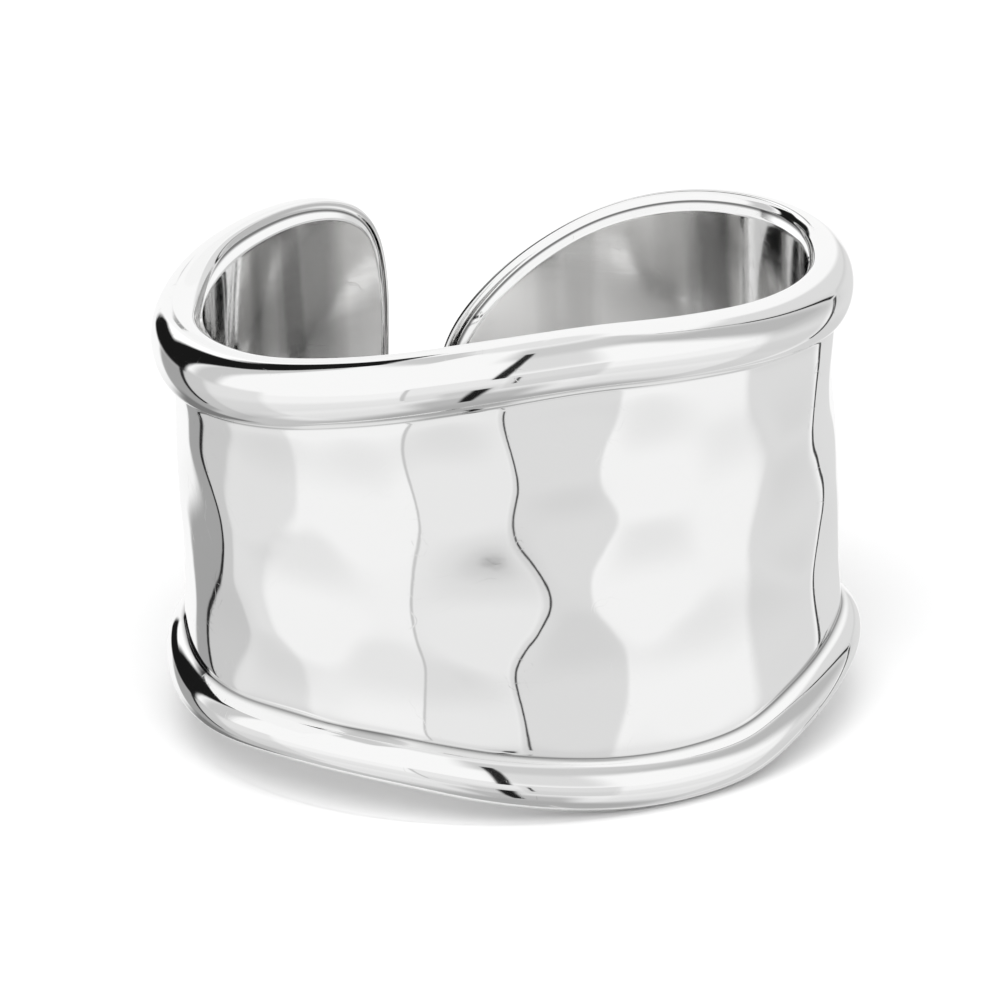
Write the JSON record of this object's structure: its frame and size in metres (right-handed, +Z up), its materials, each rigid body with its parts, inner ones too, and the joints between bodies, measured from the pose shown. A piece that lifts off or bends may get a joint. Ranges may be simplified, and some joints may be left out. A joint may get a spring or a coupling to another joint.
{
  "type": "open cuff ring",
  "caption": "Wide open cuff ring with a hammered outer face, a smooth finger hole and a round rim along both edges and round both ends.",
  "frame": {"origin": "on the surface that the ring lies on, under the middle of its box, which is on the finger hole's axis", "axes": "+Z up along the finger hole; the band's tallest part faces -Y and the open gap faces +Y"},
  "size_m": [0.02, 0.02, 0.0143],
  "materials": {
    "polished_silver": "mirror-polished silver, with shallow hammer marks outside"
  },
  "bodies": {
    "root": {"cuff_band": "polished_silver"}
  },
  "joints": []
}
